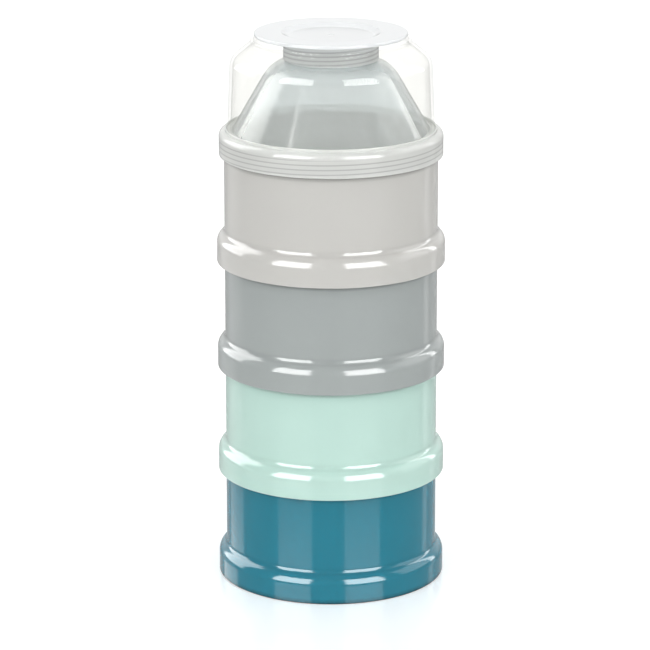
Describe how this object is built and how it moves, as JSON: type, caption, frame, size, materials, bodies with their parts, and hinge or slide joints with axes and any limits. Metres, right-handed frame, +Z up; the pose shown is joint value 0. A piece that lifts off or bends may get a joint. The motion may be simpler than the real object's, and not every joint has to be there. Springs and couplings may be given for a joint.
{
  "type": "stacking formula dispenser",
  "caption": "Stack of identical round screw-together powder containers with a funnel lid, a screw cap on its pouring neck and a clear lift-off hood.",
  "frame": {"origin": "centre of the bottom rim of the lowest container, on the stack's axis", "axes": "+Z up the stack's axis, from the bottom rim to the cap; X and Y are alike except for where the threads start"},
  "size_m": [0.078, 0.078, 0.1903],
  "materials": {
    "teal_plastic": "gloss",
    "mint_plastic": "gloss",
    "grey_plastic": "gloss",
    "light_plastic": "gloss",
    "funnel_plastic": "clear cone and neck, frosted screw ring",
    "cap_plastic": "milky translucent",
    "hood_plastic": "clear",
    "silicone": "satin"
  },
  "bodies": {
    "teal_container": {"teal_container": "teal_plastic"},
    "seal_ring_1": {"seal_ring_1": "silicone"},
    "mint_container": {"mint_container": "mint_plastic"},
    "seal_ring_2": {"seal_ring_2": "silicone"},
    "grey_container": {"grey_container": "grey_plastic"},
    "seal_ring_3": {"seal_ring_3": "silicone"},
    "light_container": {"light_container": "light_plastic"},
    "seal_ring_4": {"seal_ring_4": "silicone"},
    "funnel_lid": {"funnel_lid": "funnel_plastic"},
    "cap_liner": {"cap_liner": "silicone"},
    "neck_cap": {"neck_cap": "cap_plastic"},
    "clear_hood": {"clear_hood": "hood_plastic"}
  },
  "joints": [
    {"name": "mint_rise", "type": "slide", "parent": "teal_container", "child": "seal_ring_1", "axis": [0, 0, 1], "range_m": [0, 0.00725]},
    {"name": "mint_turn", "type": "hinge", "parent": "seal_ring_1", "child": "mint_container", "pos_m": [0, 0, 0.0371], "axis": [0, 0, 1], "range_deg": [0, 810]},
    {"name": "grey_rise", "type": "slide", "parent": "mint_container", "child": "seal_ring_2", "axis": [0, 0, 1], "range_m": [0, 0.00725]},
    {"name": "grey_turn", "type": "hinge", "parent": "seal_ring_2", "child": "grey_container", "pos_m": [0, 0, 0.0742], "axis": [0, 0, 1], "range_deg": [0, 810]},
    {"name": "light_rise", "type": "slide", "parent": "grey_container", "child": "seal_ring_3", "axis": [0, 0, 1], "range_m": [0, 0.00725]},
    {"name": "light_turn", "type": "hinge", "parent": "seal_ring_3", "child": "light_container", "pos_m": [0, 0, 0.1113], "axis": [0, 0, 1], "range_deg": [0, 810]},
    {"name": "funnel_rise", "type": "slide", "parent": "light_container", "child": "seal_ring_4", "axis": [0, 0, 1], "range_m": [0, 0.00725]},
    {"name": "funnel_turn", "type": "hinge", "parent": "seal_ring_4", "child": "funnel_lid", "pos_m": [0, 0, 0.1484], "axis": [0, 0, 1], "range_deg": [0, 810]},
    {"name": "cap_rise", "type": "slide", "parent": "funnel_lid", "child": "cap_liner", "axis": [0, 0, 1], "range_m": [0, 0.0073]},
    {"name": "cap_turn", "type": "hinge", "parent": "cap_liner", "child": "neck_cap", "pos_m": [0, 0, 0.181], "axis": [0, 0, 1], "range_deg": [0, 900]},
    {"name": "hood_lift", "type": "slide", "parent": "funnel_lid", "child": "clear_hood", "axis": [0, 0, 1], "range_m": [0, 0.04]}
  ],
  "couplings": [
    {"joint": "mint_rise", "follows": "mint_turn", "m_per_rad": 0.0005093},
    {"joint": "grey_rise", "follows": "grey_turn", "m_per_rad": 0.0005093},
    {"joint": "light_rise", "follows": "light_turn", "m_per_rad": 0.0005093},
    {"joint": "funnel_rise", "follows": "funnel_turn", "m_per_rad": 0.0005093},
    {"joint": "cap_rise", "follows": "cap_turn", "m_per_rad": 0.00046155}
  ]
}
